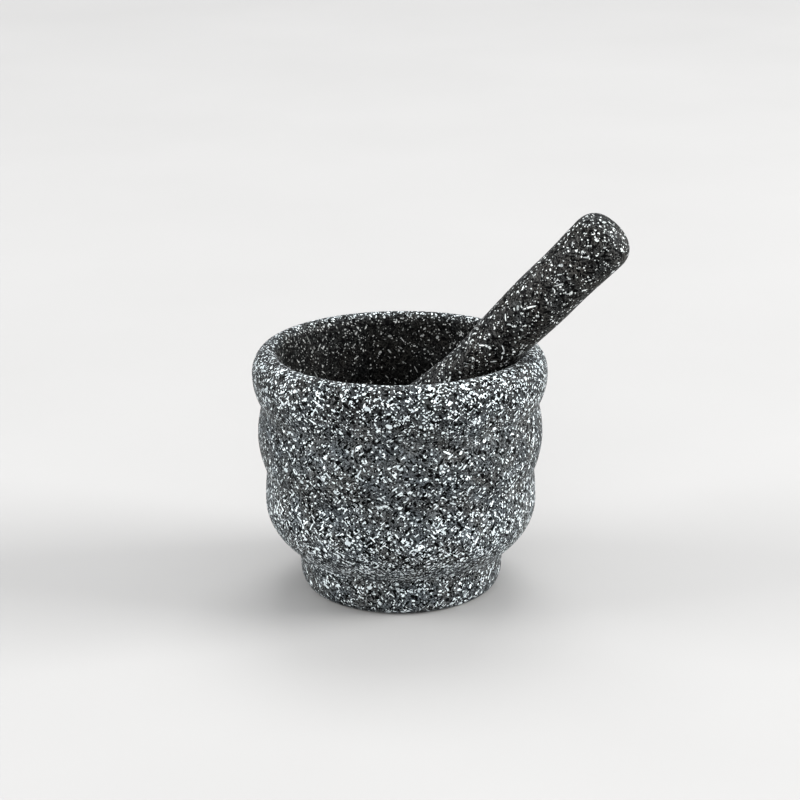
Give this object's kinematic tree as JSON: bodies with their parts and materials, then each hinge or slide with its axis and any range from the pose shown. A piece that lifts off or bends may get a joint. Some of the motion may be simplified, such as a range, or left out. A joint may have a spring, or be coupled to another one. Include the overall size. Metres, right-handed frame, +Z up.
{
  "type": "molcajete",
  "caption": "Speckled stone mortar on a ring foot, with a rolled rim and a round-bottomed bowl, and a loose rod pestle that leans in it.",
  "frame": {"origin": "centre of the flat underside of the mortar's foot, on the mortar's axis", "axes": "+Z up along the mortar's axis; the pestle leans towards +X, turned 18 degrees towards -Y"},
  "size_m": [0.1747, 0.14, 0.1883],
  "materials": {
    "mortar_stone": "honed dark grey stone with white and black chips",
    "pestle_stone": "honed darker stone with fine white chips"
  },
  "bodies": {
    "mortar": {"mortar": "mortar_stone"},
    "pestle": {"pestle": "pestle_stone"}
  },
  "joints": [
    {"name": "pestle_lift", "type": "slide", "parent": "mortar", "child": "pestle", "axis": [0, 0, 1], "range_m": [0, 0.13]}
  ]
}
